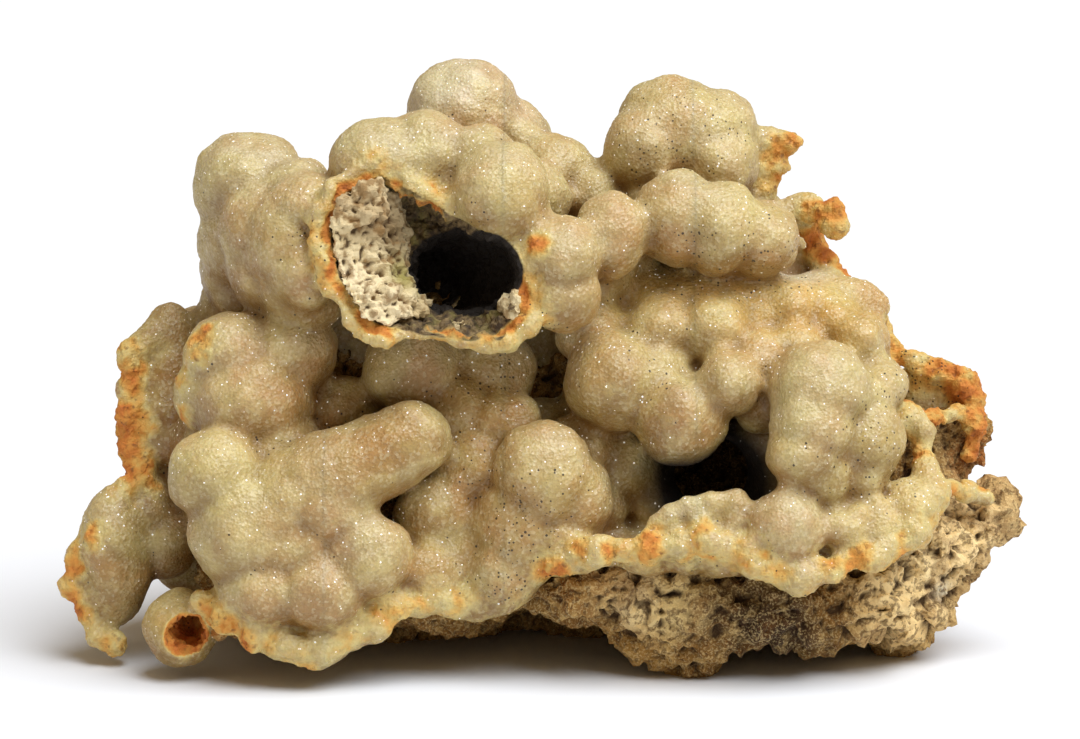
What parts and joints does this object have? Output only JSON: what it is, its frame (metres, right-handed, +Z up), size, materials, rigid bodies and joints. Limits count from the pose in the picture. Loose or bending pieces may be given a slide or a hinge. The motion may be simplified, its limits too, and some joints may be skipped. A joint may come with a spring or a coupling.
{
  "type": "botryoidal quartz specimen",
  "caption": "Loose mineral specimen: rounded lumps of quartz with a sugary crystal skin on rough host rock, with a broken hollow tube and chalky filling.",
  "frame": {"origin": "on the table, under the middle of the specimen's bounding box", "axes": "+X across the specimen to the right as seen from the front, +Y away from the viewer, +Z up"},
  "size_m": [0.2014, 0.099, 0.125],
  "materials": {
    "drusy_quartz": "fine sugary quartz crystals, greyish beige, orange rust along the broken edges",
    "host_rock": "rough porous tan and brown rock",
    "chalk": "matte crumbly cream-white mineral"
  },
  "bodies": {
    "root": {"quartz_crust": "drusy_quartz", "host_rock": "host_rock", "chalk_filling": "chalk"}
  },
  "joints": []
}
